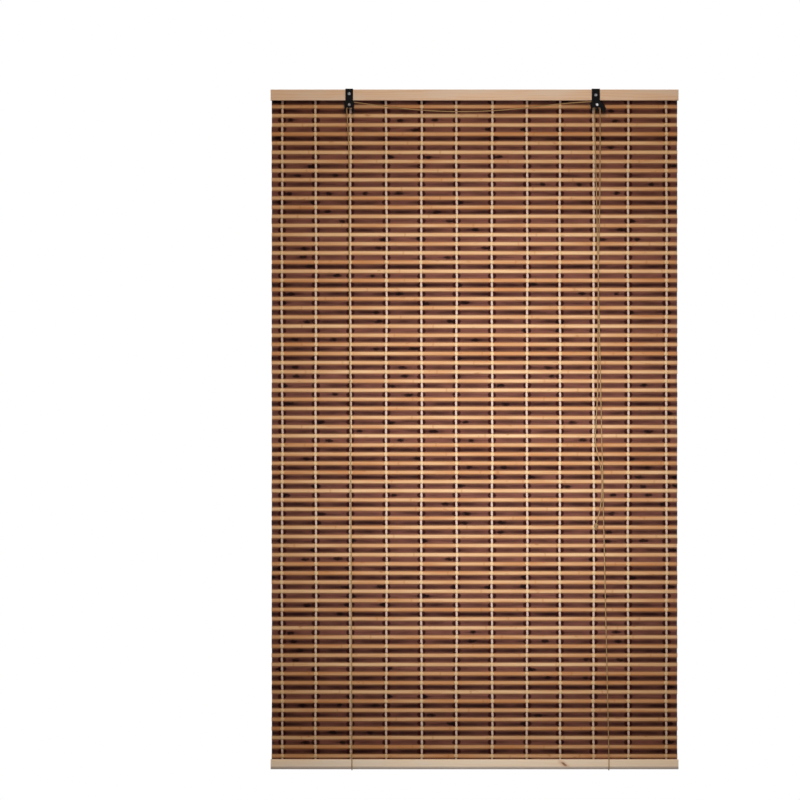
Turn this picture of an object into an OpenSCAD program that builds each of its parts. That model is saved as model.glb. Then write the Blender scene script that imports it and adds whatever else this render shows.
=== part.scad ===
// Bamboo roll-up blind: a mat of light and dark bamboo slats, woven together by twelve
// lines of cotton yarn, hangs between a wooden head rail and a wooden bottom rail.
// Two bent steel straps hook over the head rail, carry the hanging holes and end in
// pulley cheeks. One cord runs over the left sheave and across to the right, where a
// two-sheave cord lock takes both cords down to one pull knot.
// Millimetres, +X to the right, +Z up, the front faces -Y. The origin is midway between
// the hanging holes, level with the top of the head rail.

/* [Blind] */
// Width of both rails
blind_w = 900; // [800:10:1200]
// Height from the top of the head rail to the underside of the bottom rail
blind_h = 1500; // [900:10:2000]
// How far the slats stop short of the rails' ends
mat_inset = 2; // [0:0.5:10]
// Distance between the two hanging holes
hole_spacing = 544; // [500:2:600]
// How far the rails sit to the right of the middle between the hanging holes
rail_shift = 4.5; // [0:0.5:8]
// Distance from the hanging holes forward to the back of the head rail
hook_set = 15; // [14:0.5:25]

/* [Rails] */
// Height of the head rail
head_h = 24; // [20:1:32]
// Thickness of the head rail, which also gives the room for the two sheaves under it
head_t = 14; // [14:0.5:20]
// Height of the bottom rail
foot_h = 22; // [18:1:30]
// Thickness of the bottom rail
foot_t = 12; // [10:0.5:13]
// Radius of the head rail's eased edges
head_round = 1.2; // [0.5:0.1:3]
// Radius of the bottom rail's eased edges, which the cords run round
foot_round = 4; // [2:0.5:5]

/* [Mat] */
// Nominal distance from one light slat to the next
slat_pitch = 20.2; // [17:0.1:30]
// Height of a light slat
light_h = 9; // [6:0.5:11]
// Thickness of a light slat
light_t = 2.4; // [2:0.1:3]
// How far the dark slats lie behind the face of the light ones
dark_inset = 0.6; // [0.4:0.1:1]
// Width of the crowned edge on the face of a slat
slat_crown = 1.4; // [0.5:0.1:2]
// Number of warp lines across the mat
yarn_lines = 12; // [8:1:16]
// Width of a warp yarn
yarn_w = 6.4; // [4:0.1:8]
// Thickness of a warp yarn
yarn_t = 1; // [0.6:0.1:1.4]
// Distance from the mat's edge to the first warp line
yarn_edge = 22; // [12:1:40]

/* [Fittings] */
// Thickness of the bent strap
strap_t = 2; // [1.5:0.1:3]
// Width of the left strap
left_strap_w = 17; // [12:0.5:20]
// Width of the right strap
right_strap_w = 18; // [14:0.5:22]
// Diameter of the hanging holes
hang_hole_d = 6; // [5:0.1:8]
// Thickness of the rear cheeks
cheek_t = 1.2; // [1:0.1:1.5]
// Outer radius of the sheaves
sheave_r = 7.5; // [6.5:0.1:9]
// Diameter of the sheave axles
axle_d = 4; // [3:0.1:5]
// Radius of the lock cam over its teeth
cam_r = 6.2; // [5:0.1:8]
// Number of teeth on the lock cam
cam_teeth = 9; // [5:1:13]
// Diameter of the lock pin
pin_d = 3; // [2.5:0.1:4]
// Distance of the left screw below the top of the head rail
left_screw_drop = 9.5; // [8:0.5:14]
// Distance of the right screw below the top of the head rail
right_screw_drop = 12.5; // [8:0.5:14]
// Diameter of the screw shanks
screw_d = 3.2; // [2.5:0.1:4]
// Length of the screw shanks in the rail
screw_bite = 10; // [6:0.5:12]
// Thickness of the staple wire
wire_t = 0.9; // [0.6:0.1:1.1]
// Width of the staples over their legs
staple_w = 10; // [8:0.5:14]

/* [Cords] */
// Diameter of the lift cords
cord_d = 2.2; // [1.6:0.1:2.2]

/* [Hidden] */
$fn = 48;

// Depth stack, from the hanging holes forward
rail_back = -hook_set;
rail_front = rail_back - head_t;
light_front = rail_back + yarn_t;
light_back = light_front + light_t;
// Depth to which the two edge yarns are pressed into the slats they carry
yarn_bite = 0.2;
dark_front = light_front + dark_inset;
dark_back = light_back + yarn_bite;

// Rows of slats: the first lies behind the head rail, the last behind the bottom rail
first_drop = 0.7 * head_h;
last_rise = 8.6;
slat_run = blind_h - first_drop - last_rise;
pitches = round(slat_run / slat_pitch);
pitch = slat_run / pitches;
// Free height between a light slat and a dark one
slat_gap = 0.3;
dark_h = pitch - light_h - 2 * slat_gap;
// Depth of the crowned edge on a slat's face, and width of the eased edge on its back
crown_depth = 0.7;
back_ease = 0.35;
slat_len = blind_w - 2 * mat_inset;
mat_left = rail_shift - slat_len / 2;
function light_z(i) = -first_drop - i * pitch;
function dark_z(i) = light_z(i + 0.5);

// Warp lines: evenly spread, each a little off its place as hand weaving leaves it
yarn_drift = [1, -2, -3, -1, -1, -1, 0, 0, -5, -8, -9, -2];
yarn_step = (slat_len - 2 * yarn_edge) / (yarn_lines - 1);
yarn_tail = 0.5;
yarn_ease = 0.35;
yarn_top = light_z(0) + light_h / 2 + yarn_tail;
yarn_foot = light_z(pitches) - light_h / 2 - yarn_tail;
function yarn_x(i) = mat_left + yarn_edge + i * yarn_step + yarn_drift[i % len(yarn_drift)];

// Sheave stack under the head rail, from the strap backwards
side_gap = 0.4;
washer_t = 0.4;
washer_gap = 0.3;
rivet_head_t = 1;
mat_clear = 1.2;
stack_rest = 2 * side_gap + 2 * washer_gap + washer_t + cheek_t + rivet_head_t + mat_clear;
sheave_t = (head_t - stack_rest) / 2;
front_sheave_y = rail_front + side_gap + sheave_t / 2;
washer_y = rail_front + side_gap + sheave_t + washer_gap;
rear_sheave_y = washer_y + washer_t + washer_gap + sheave_t / 2;
left_cheek_y = front_sheave_y + sheave_t / 2 + side_gap;
right_cheek_y = rear_sheave_y + sheave_t / 2 + side_gap;

// Pulley places: the sheaves clear the flange that lies under the rail
flange_gap = 0.8;
axle_z = -head_h - cheek_t - flange_gap - sheave_r;
left_x = -hole_spacing / 2;
right_x = hole_spacing / 2;
// How far the lock's axle stands to the right of its strap's middle
lock_shift = 2.7;
right_axle_x = right_x + lock_shift;
axle_play = 0.05;
washer_w = 2.4;
rivet_lip = 1.2;
rivet_head_r = axle_d / 2 + rivet_lip;
rivet_bevel = 0.6;
rivet_fit = 0.1;
// The cord's middle runs this far inside the sheave's rim
cord_sink = 0.9;
cord_line_r = sheave_r - cord_sink;
cord_play = 0.3;

// Lock cam, measured from the lock's axle; its teeth stand toward the two tails of cord
cam_clear = 0.5;
cam_x = cord_line_r + cord_d / 2 + cam_clear + cam_r;
cam_z = -8.5;
cam_len = right_cheek_y - rail_front - 2 * side_gap;
tooth_h = 1.2;
tooth_w = 1.8;
tooth_from = 115;
tooth_span = 130;
cam_tail = [2.4, -8];
cam_tail_w = 3.4;
pin_play = 0.05;
pin_lip = 0.9;
pin_head_r = pin_d / 2 + pin_lip;

// Straps: bent a little tighter than the rail's eased edge, so that they lie on its faces
bend_fit = 0.2;
bend_r = head_round - bend_fit;

// Cheek outlines, measured from the axle: the sides slope out from the strap's edges
cheek_top = -head_h - axle_z;
cheek_low = 6;
cheek_corner = 2;
// Height at which a side reaches its full width: the left cheek, then the lock's two sides
left_brow = 4;
lock_brow = 3;
pin_brow = -2.5;
leg_w = 4.4;
leg_foot = 3.4;
leg_tip = 1;
leg_root = 1;
// Width of plate left beside a sheave, beside the lock's sheave and beside its pin
cheek_rim = 3.5;
lock_rim = 6.5;
pin_rim = 3.5;
// How far the cheek's top edge stays within the strap's sides
cheek_tuck = 0.5;
left_top = left_strap_w / 2 - cheek_tuck;
left_half = sheave_r + cheek_rim;
left_sides = [[-left_top, -left_half, left_brow], [left_top, left_half, left_brow]];
left_legs = [[3 - left_half, 1 - left_half, -15], [left_half - 3.5, left_half - 0.5, -16.5]];
right_top = right_strap_w / 2 - cheek_tuck;
right_left = -sheave_r - lock_rim;
right_sides = [
    [-right_top - lock_shift, right_left, lock_brow], [right_top - lock_shift, cam_x + pin_rim, pin_brow]
];
right_legs = [[right_left + 3, right_left + 1.5, -14.5], [0.5, 0.5, -14.5], [cam_x - 0.6, cam_x, -14]];
tongue_w = 8;
tongue_fit = 0.1;
tongue_root = 1;

// Fasteners
screw_head_r = 3.6;
screw_head_t = 2.2;
screw_rim = 0.8;
screw_dome = 1.2;
screw_point = 2;
screw_fit = 0.1;
// Free depth in the rail past the point of a screw
point_room = 0.5;
cross_l = 3.6;
cross_w = 0.8;
cross_depth = 1.2;
staple_bite = 5;
staple_seat = 0.05;
// Free length between two staples that meet side by side
staple_clear = 1;
cord_staple_w = 7.2;
cord_staple_room = 0.8;
// Distance of the cords' rear ends from the middle
anchor_x = 280;
// How far a cutting shape stands out of the piece it cuts
overcut = 1;

// Cord routes, front view left to right, chosen along the cords' real runs.
// Left cord: knotted behind the head rail, down the back, under the bottom rail, up the
// front, over the left sheave, across to the right, over the front sheave, down the tail.
left_route = [
    [-anchor_x, -9.6, -14.2], [-anchor_x, -10.1, -17.5], [-279.8, -8.9, -40], [-273, -8.9, -760],
    [-266, -8.9, -1490], [-266, -8.9, -1496], [-266, -9.6, -1498.8], [-266, -11.6, -1500.8],
    [-266, -14.4, -1501.5], [-266, -23, -1501.5], [-266, -25.8, -1500.8], [-266, -27.8, -1498.8],
    [-266, -28.5, -1496], [-266, -28.5, -1478], [-268, -27.8, -909], [-271.5, -27.2, -458],
    [-272.5, -26.8, -141], [-277.5, -26.4, -46], [-278.6, -26.4, -33.5], [-277.7, -26.4, -30.2],
    [-275.3, -26.4, -27.8], [-271.2, -26.4, -26.9], [-235, -26.4, -31.6], [-200, -26.4, -36.2],
    [-140, -26.4, -43], [-80, -26.4, -47.4], [-20, -26.4, -48.6], [40, -26.4, -47],
    [100, -26.4, -42.2], [150, -26.4, -36.6], [200, -26.4, -31.2], [240, -26.4, -27.9],
    [274, -26.4, -26.9], [278, -26.4, -27.8], [280.4, -26.4, -30.2], [281.3, -26.4, -33.5],
    [281.5, -26.4, -60], [281, -26.4, -230], [278, -26.3, -370], [277, -26.2, -550],
    [276, -24.9, -670], [273, -23.9, -730], [271.5, -23.2, -775], [277, -22.8, -808],
    [284.5, -22.8, -842], [285.5, -22.8, -887], [282.5, -22.8, -921], [278, -22.8, -941],
    [274, -22.8, -957]
];
// Right cord: the same run at the right, straight up to the rear sheave and down the tail
right_route = [
    [anchor_x, -9.6, -14.2], [anchor_x, -10.1, -17.5], [280.2, -8.9, -40], [290, -8.9, -760],
    [301, -8.9, -1490], [301, -8.9, -1496], [301, -9.6, -1498.8], [301, -11.6, -1500.8],
    [301, -14.4, -1501.5], [301, -23, -1501.5], [301, -25.8, -1500.8], [301, -27.8, -1498.8],
    [301, -28.5, -1496], [301, -28.5, -1478], [285, -24.7, -760], [269.5, -21, -46],
    [268.1, -21, -33.5], [269, -21, -30.2], [271.4, -21, -27.8], [274.7, -21, -26.9],
    [278, -21, -27.8], [280.4, -21, -30.2], [281.3, -21, -33.5], [281.5, -21, -60],
    [281, -20.8, -230], [278, -20.6, -370], [277, -20.5, -550], [276, -20.4, -670],
    [273, -20.4, -730], [271.5, -20.4, -775], [277, -20.4, -808], [284.5, -20.4, -842],
    [285.5, -20.4, -887], [282.5, -20.4, -921], [278, -20.4, -941], [274, -20.4, -957]
];
cord_sides = 8;
// Free depth between the end of a cord and its knot
knot_seat = 0.2;
end_knot_r = 2.9;
end_knot_l = 6;
end_knot_back = 1.2;
pull_knot_r = 5.4;
pull_knot_l = 15;

// Profile in Y and Z, extruded along X
module along_x(from, length) {
    translate([from, 0, 0]) rotate([90, 0, 90]) linear_extrude(length) children();
}

// Outline in X and Z, extruded along Y from its front face backwards
module plate(front, thickness) {
    translate([0, front + thickness, 0]) rotate([90, 0, 0]) linear_extrude(thickness) children();
}

// Turned piece whose axis runs along Y; the profile's second coordinate runs to the front
module turned(x, y, z) {
    translate([x, y, z]) rotate([90, 0, 0]) rotate_extrude() children();
}

// Rectangle with round corners, from its low corner to its high one
module rounded_box(low, high, r) {
    size = high - low;
    translate(low + [r, 0]) square([size.x - 2 * r, size.y]);
    translate(low + [0, r]) square([size.x, size.y - 2 * r]);
    for (x = [low.x + r, high.x - r], y = [low.y + r, high.y - r]) translate([x, y]) circle(r);
}

// Flat bar with round ends
module bar(from, to, width) {
    run = to - from;
    translate(from) rotate(atan2(run.y, run.x)) translate([0, -width / 2]) square([norm(run), width]);
    translate(from) circle(d = width);
    translate(to) circle(d = width);
}

// Wooden rails: planed battens with eased edges
module head_rail() color("burlywood") {
    difference() {
        along_x(rail_shift - blind_w / 2, blind_w)
            rounded_box([rail_front, -head_h], [rail_back, 0], head_round);
        for (side = [[left_x, left_screw_drop], [right_x, right_screw_drop]])
            translate([side.x, rail_front - overcut, -side.y]) rotate([-90, 0, 0])
                cylinder(d = screw_d + 2 * screw_fit, h = overcut + screw_bite + point_room);
    }
}

module bottom_rail() color("burlywood") {
    along_x(rail_shift - blind_w / 2, blind_w)
        rounded_box([rail_back - foot_t, -blind_h], [rail_back, foot_h - blind_h], foot_round);
}

// One bamboo split: a crowned face to the front, a slightly eased back
module slat(z, front, back, height) {
    top = z + height / 2;
    low = z - height / 2;
    brow = front + crown_depth;
    heel = back - back_ease;
    along_x(mat_left, slat_len) polygon([
        [front, top - slat_crown], [brow, top], [heel, top], [back, top - back_ease],
        [back, low + back_ease], [heel, low], [brow, low], [front, low + slat_crown]
    ]);
}

// One line of yarn, flat on the side that lies on the slats; toward is -1 for the front
module yarn(i, seat, thickness, toward) {
    face = seat + toward * thickness;
    shoulder = face - toward * yarn_ease;
    translate([yarn_x(i), 0, yarn_foot]) linear_extrude(yarn_top - yarn_foot) polygon([
        [-yarn_w / 2, seat], [-yarn_w / 2, shoulder], [yarn_ease - yarn_w / 2, face],
        [yarn_w / 2 - yarn_ease, face], [yarn_w / 2, shoulder], [yarn_w / 2, seat]
    ]);
}

// The light slats hang together on the two edge yarns in front
module light_slats() color("tan") {
    for (i = [0:pitches]) slat(light_z(i), light_front, light_back, light_h);
    for (i = [0, yarn_lines - 1]) yarn(i, light_front + yarn_bite, yarn_t + yarn_bite, -1);
}

// The dark slats hang together on the two edge yarns behind
module dark_slats() color("saddlebrown") {
    for (i = [0:pitches - 1]) slat(dark_z(i), dark_front, dark_back, dark_h);
    for (i = [0, yarn_lines - 1]) yarn(i, light_back, yarn_t + yarn_bite, 1);
}

module front_yarns() color("wheat") {
    for (i = [1:yarn_lines - 2]) yarn(i, light_front, yarn_t, -1);
}

module rear_yarns() color("wheat") {
    for (i = [1:yarn_lines - 2]) yarn(i, dark_back, yarn_t, 1);
}

// Pulley cheek without its strap or flange. Each side is its edge at the top, its widest
// place and the height of that; each leg is its root, its foot and its depth.
module cheek_outline(sides, legs) {
    left = sides[0];
    right = sides[1];
    cut = cheek_corner;
    polygon([
        [left[1] + cut, -cheek_low], [left[1], cut - cheek_low], [left[1], left[2]],
        [left[0], cheek_top], [right[0], cheek_top],
        [right[1], right[2]], [right[1], cut - cheek_low], [right[1] - cut, -cheek_low]
    ]);
    for (leg = legs) polygon([
        [leg[0] - leg_w / 2, leg_root - cheek_low], [leg[1] - leg_foot / 2, leg[2] + leg_tip],
        [leg[1] - leg_foot / 2 + leg_tip, leg[2]], [leg[1] + leg_foot / 2 - leg_tip, leg[2]],
        [leg[1] + leg_foot / 2, leg[2] + leg_tip], [leg[0] + leg_w / 2, leg_root - cheek_low]
    ]);
}

module left_cheek_outline() {
    difference() {
        cheek_outline(left_sides, left_legs);
        circle(d = axle_d + 2 * rivet_fit);
    }
}

module right_cheek_outline() {
    difference() {
        cheek_outline(right_sides, right_legs);
        circle(d = axle_d + 2 * rivet_fit);
        translate([cam_x, cam_z]) circle(d = pin_d + 2 * rivet_fit);
    }
}

// Bent strip: a tab with the hanging hole, a bridge over the rail and a leg down its front.
// The cheek outline is a child, drawn round the axle.
module strap(x, width, screw_drop, axle_x) {
    outer_r = bend_r + strap_t;
    difference() {
        union() {
            linear_extrude(strap_t) {
                translate([x - width / 2, rail_front + bend_r]) square([width, -rail_front - bend_r]);
                translate([x, 0]) circle(d = width);
            }
            along_x(x - width / 2, width) translate([rail_front + bend_r, -bend_r]) difference() {
                intersection() {
                    circle(outer_r);
                    translate([-outer_r, 0]) square(outer_r);
                }
                circle(bend_r);
            }
            plate(rail_front - strap_t, strap_t) {
                translate([x - width / 2, -head_h - cheek_corner])
                    square([width, head_h + cheek_corner - bend_r]);
                translate([axle_x, axle_z]) children();
            }
        }
        translate([x, 0, -overcut]) cylinder(d = hang_hole_d, h = strap_t + 2 * overcut);
        translate([x, rail_front - strap_t - overcut, -screw_drop]) rotate([-90, 0, 0])
            cylinder(d = screw_d + 4 * screw_fit, h = strap_t + 2 * overcut);
        translate([axle_x, rail_front - strap_t / 2, -head_h - cheek_t / 2]) cube(
            [tongue_w + 2 * tongue_fit, strap_t + 2 * overcut, cheek_t + 2 * tongue_fit],
            center = true
        );
    }
}

// Rear cheek: its flange lies under the rail and its tongue locks into the strap
module rear_cheek(axle_x, y, sides) {
    left = sides[0][0];
    right = sides[1][0];
    plate(y, cheek_t) translate([axle_x, axle_z]) children();
    translate([axle_x + left, rail_front, -head_h - cheek_t])
        cube([right - left, y - rail_front + cheek_t, cheek_t]);
    translate([axle_x - tongue_w / 2, rail_front - strap_t, -head_h - cheek_t])
        cube([tongue_w, strap_t + tongue_root, cheek_t]);
}

module left_strap() color("#1b1b1d") {
    strap(left_x, left_strap_w, left_screw_drop, left_x) left_cheek_outline();
}

module left_rear_cheek() color("#1b1b1d") {
    rear_cheek(left_x, left_cheek_y, left_sides) left_cheek_outline();
}

module right_strap() color("#1b1b1d") {
    strap(right_x, right_strap_w, right_screw_drop, right_axle_x) right_cheek_outline();
}

module right_rear_cheek() color("#1b1b1d") {
    rear_cheek(right_axle_x, right_cheek_y, right_sides) right_cheek_outline();
}

// Grooved wheel on a bore that runs on its axle
module sheave(x, y) {
    bore_r = axle_d / 2 + axle_play;
    groove_r = cord_d / 2 + cord_play;
    turned(x, y, axle_z) difference() {
        translate([bore_r, -sheave_t / 2]) square([sheave_r - bore_r, sheave_t]);
        translate([cord_line_r, 0]) circle(groove_r);
        translate([cord_line_r, -groove_r]) square([sheave_r, 2 * groove_r]);
    }
}

module left_sheave() color("#2a2a2c") sheave(left_x, front_sheave_y);

module right_front_sheave() color("#2a2a2c") sheave(right_axle_x, front_sheave_y);

module right_rear_sheave() color("#2a2a2c") sheave(right_axle_x, rear_sheave_y);

module sheave_washer() color("silver") {
    bore_r = axle_d / 2 + axle_play;
    turned(right_axle_x, washer_y, axle_z) translate([bore_r, -washer_t]) square([washer_w, washer_t]);
}

// Rivet with a flat-topped head at each end, from the strap's face to behind a cheek
module rivet(x, z, r, head_r, back) {
    front = rail_front - strap_t;
    length = back - front;
    head_in = head_r - rivet_bevel;
    rim = rivet_head_t - rivet_bevel;
    turned(x, front, z) polygon([
        [0, -length - rivet_head_t], [head_in, -length - rivet_head_t], [head_r, -length - rim],
        [head_r, -length], [r, -length], [r, 0], [head_r, 0], [head_r, rim],
        [head_in, rivet_head_t], [0, rivet_head_t]
    ]);
}

module left_axle() color("silver")
    rivet(left_x, axle_z, axle_d / 2, rivet_head_r, left_cheek_y + cheek_t);

module right_axle() color("silver")
    rivet(right_axle_x, axle_z, axle_d / 2, rivet_head_r, right_cheek_y + cheek_t);

// Toothed cam that bears on both tails, with a tail of its own to swing it free
module lock_cam() color("#3a3a3d") {
    translate([right_axle_x + cam_x, 0, axle_z + cam_z]) plate(rail_front + side_gap, cam_len)
        difference() {
            union() {
                circle(cam_r - tooth_h);
                for (i = [0:cam_teeth - 1]) rotate(tooth_from + i * tooth_span / (cam_teeth - 1))
                    translate([cam_r, 0]) polygon([
                        [-2 * tooth_h, -tooth_w / 2], [0, 0], [-2 * tooth_h, tooth_w / 2]
                    ]);
                bar([0, 0], cam_tail, cam_tail_w);
            }
            circle(d = pin_d + 2 * pin_play);
        }
}

module lock_pin() color("silver")
    rivet(right_axle_x + cam_x, axle_z + cam_z, pin_d / 2, pin_head_r, right_cheek_y + cheek_t);

// Pan-head screw with a cross recess
module strap_screw(x, z) {
    front = rail_front - strap_t;
    difference() {
        turned(x, front, z) polygon([
            [0, -strap_t - screw_bite], [screw_d / 2, screw_point - strap_t - screw_bite], [screw_d / 2, 0],
            [screw_head_r, 0], [screw_head_r, screw_rim],
            [screw_head_r - screw_dome, screw_head_t], [0, screw_head_t]
        ]);
        for (turn = [0, 90]) translate([x, front - screw_head_t, z]) rotate([0, turn, 0])
            cube([cross_l, 2 * cross_depth, cross_w], center = true);
    }
}

module strap_screws() color("lightgray") {
    strap_screw(left_x, -left_screw_drop);
    strap_screw(right_x, -right_screw_drop);
}

// Wire staple driven from behind: its legs run forward into the rail
module staple(x, z, crown_front, width) {
    depth = crown_front + wire_t - (rail_back - staple_bite);
    translate([x - width / 2, crown_front, z - wire_t / 2]) cube([width, wire_t, wire_t]);
    for (leg = [-width / 2, width / 2 - wire_t])
        translate([x + leg, rail_back - staple_bite, z - wire_t / 2]) cube([wire_t, depth, wire_t]);
}

// Each staple of a row sits midway between two warp lines, or beside the cord's staple there
function staple_x(i) =
    let (middle = (yarn_x(i) + yarn_x(i + 1)) / 2)
    let (anchor = sign(middle) * anchor_x)
    let (room = (staple_w + cord_staple_w) / 2 + staple_clear)
        abs(middle - anchor) >= room ? middle : middle < anchor ? anchor - room : anchor + room;

module staple_row(z) {
    for (i = [0:2:yarn_lines - 2]) staple(staple_x(i), z, light_back + staple_seat, staple_w);
}

module head_staples() color("gray") staple_row(light_z(0));

module foot_staples() color("gray") staple_row(light_z(pitches));

// Each of these two straddles the end of a cord behind the top slat
module cord_staples() color("gray") {
    for (x = [-anchor_x, anchor_x])
        staple(x, light_z(0), light_back + cord_d + cord_staple_room, cord_staple_w);
}

// Cord: a tube of flat sides swept along its route
function unit(v) = v / norm(v);
function heading(p, i) = unit(p[i + 1] - p[i]);
function tangent(p, i) =
    i == 0 ? heading(p, 0) :
    i == len(p) - 1 ? heading(p, i - 1) :
    unit(heading(p, i - 1) + heading(p, i));
function across(v, t) = unit(v - (v * t) * t);
function side_vectors(p, i, v) =
    i == len(p) ? [] :
    let (s = across(v, tangent(p, i))) concat([s], side_vectors(p, i + 1, s));
function ring(p, t, s) = [
    for (k = [0:cord_sides - 1])
        let (turn = 360 * (k + 0.5) / cord_sides)
            p + cord_d / 2 * (cos(turn) * s + sin(turn) * cross(t, s))
];

module cord(route) {
    last = len(route) - 1;
    sides = side_vectors(route, 0, [1, 0, 0]);
    points = [for (i = [0:last]) each ring(route[i], tangent(route, i), sides[i])];
    walls = [
        for (i = [0:last - 1], k = [0:cord_sides - 1])
            let (a = i * cord_sides + k, b = i * cord_sides + (k + 1) % cord_sides)
                each [[a, a + cord_sides, b], [b, a + cord_sides, b + cord_sides]]
    ];
    start = [for (k = [0:cord_sides - 1]) k];
    end = [for (k = [cord_sides - 1:-1:0]) last * cord_sides + k];
    polyhedron(points, concat([start], walls, [end]));
}

module left_cord() color("#aa8c64") cord(left_route);

module right_cord() color("#aa8c64") cord(right_route);

// Tight round knot, hanging from the middle of its flat top
module knot(r, length) {
    rotate_extrude() polygon([
        [0, 0], [0.55 * r, 0], [0.9 * r, -0.18 * length], [r, -0.4 * length],
        [0.92 * r, -0.65 * length], [0.5 * r, -length], [0, -length]
    ]);
}

// The knots behind the head rail stand on the ends of the cords
module end_knots() color("#aa8c64") {
    for (route = [left_route, right_route])
        translate(route[0] + [0, end_knot_back, knot_seat]) mirror([0, 0, 1]) knot(end_knot_r, end_knot_l);
}

// The pull knot ties both tails together and hangs the way they lead
module pull_knot() color("#aa8c64") {
    last = len(left_route) - 1;
    lead = heading(left_route, last - 1);
    middle = (left_route[last] + right_route[len(right_route) - 1]) / 2;
    translate(middle + knot_seat * lead) rotate([0, atan2(-lead.x, -lead.z), 0])
        knot(pull_knot_r, pull_knot_l);
}

head_rail();
bottom_rail();
light_slats();
dark_slats();
front_yarns();
rear_yarns();
left_strap();
left_rear_cheek();
left_sheave();
left_axle();
right_strap();
right_rear_cheek();
right_front_sheave();
right_rear_sheave();
sheave_washer();
right_axle();
lock_cam();
lock_pin();
strap_screws();
head_staples();
foot_staples();
cord_staples();
left_cord();
right_cord();
end_knots();
pull_knot();
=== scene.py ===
import math
import random

import bmesh
import bpy
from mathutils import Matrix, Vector


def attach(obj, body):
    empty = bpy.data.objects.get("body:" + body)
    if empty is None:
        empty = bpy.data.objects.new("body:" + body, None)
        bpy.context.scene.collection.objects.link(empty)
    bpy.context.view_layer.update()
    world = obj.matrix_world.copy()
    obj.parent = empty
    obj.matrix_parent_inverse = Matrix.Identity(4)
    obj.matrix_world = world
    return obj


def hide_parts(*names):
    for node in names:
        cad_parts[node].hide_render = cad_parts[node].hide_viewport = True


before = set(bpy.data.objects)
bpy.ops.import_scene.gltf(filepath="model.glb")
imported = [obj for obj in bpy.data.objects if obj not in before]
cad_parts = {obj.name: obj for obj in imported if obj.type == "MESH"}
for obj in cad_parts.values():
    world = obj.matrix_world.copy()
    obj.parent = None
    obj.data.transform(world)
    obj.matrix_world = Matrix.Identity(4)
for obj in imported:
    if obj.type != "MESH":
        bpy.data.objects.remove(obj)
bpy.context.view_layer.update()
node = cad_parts


# Head rail and bottom rail: two planed battens of bare pine, as long as the blind is wide.
# The grain runs along the batten and shows as rings on its sawn ends.
# The mat is stapled to their backs, and the straps are screwed to the head rail.
def tint(red, green, blue):
    """A colour as read off a screen, 0 to 255, made linear for the shaders."""
    def linear(value):
        share = value / 255
        return share / 12.92 if share <= 0.04045 else ((share + 0.055) / 1.055) ** 2.4

    return (linear(red), linear(green), linear(blue), 1)


def wire(tree, made, **sockets):
    """Sets or links inputs of a shader node, each named with _ for a space."""
    for name, value in sockets.items():
        said = name.replace("_", " ")
        socket = next(s for s in made.inputs if name == s.identifier or said == s.name)
        if isinstance(value, bpy.types.NodeSocket):
            tree.links.new(value, socket)
        else:
            socket.default_value = value
    return made


def shade(tree, kind, setting=None, **sockets):
    """Adds a shader node with its settings and inputs."""
    made = tree.nodes.new("ShaderNode" + kind)
    for name, value in (setting or {}).items():
        setattr(made, name, value)
    return wire(tree, made, **sockets)


def calc(tree, operation, a, b=0.0):
    """One sum on numbers or on the outputs of other nodes."""
    return shade(tree, "Math", {"operation": operation}, Value=a, Value_001=b).outputs[0]


def ease(tree, value, low, high):
    """0 below low, 1 above high, and smooth between them; low may be the larger."""
    return shade(
        tree, "MapRange", {"interpolation_type": "SMOOTHSTEP"},
        Value=value, From_Min=low, From_Max=high,
    ).outputs[0]


# Where a Mix node gives its colour, among its outputs
COLOUR_OUT = 2


def mix(tree, factor, a, b):
    """Colour a where the factor is 0 and colour b where it is 1."""
    made = shade(tree, "Mix", {"data_type": "RGBA"}, Factor_Float=factor, A_Color=a, B_Color=b)
    return made.outputs[COLOUR_OUT]


def stretched_noise(tree, vector, scale, detail=3.0):
    """Noise whose grains are 1 / scale metres long on each axis."""
    spread = shade(tree, "Mapping", Vector=vector, Scale=scale).outputs[0]
    return shade(tree, "TexNoise", Vector=spread, Scale=1.0, Detail=detail).outputs[0]


def new_finish(name):
    """A material, its node tree and its main shader."""
    material = bpy.data.materials.new(name)
    material.use_nodes = True
    tree = material.node_tree
    return material, tree, tree.nodes["Principled BSDF"]


def relief(tree, height, depth, strength=1.0):
    """Bumps of the given depth in metres."""
    return shade(tree, "Bump", Height=height, Distance=depth, Strength=strength).outputs[0]


# Rings per metre of height and depth, in radians, and how far they waver
RINGS_UP, RINGS_DEEP, RINGS_WAVER = 900.0, 500.0, 26.0
RAIL_KNOT_PLACE = (0.202, -0.027, -1.4885)
RAIL_KNOT_SLANT = 0.6
RAIL_KNOT_SIZE = (0.0085, 1.0, 0.003)
# Heights between which painted shade greys the bottom rail's lower edge, and how raggedly
LOW_SHADE_FROM, LOW_SHADE_FULL, LOW_SHADE_RAGGED = -1.4915, -1.4945, 0.002


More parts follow.
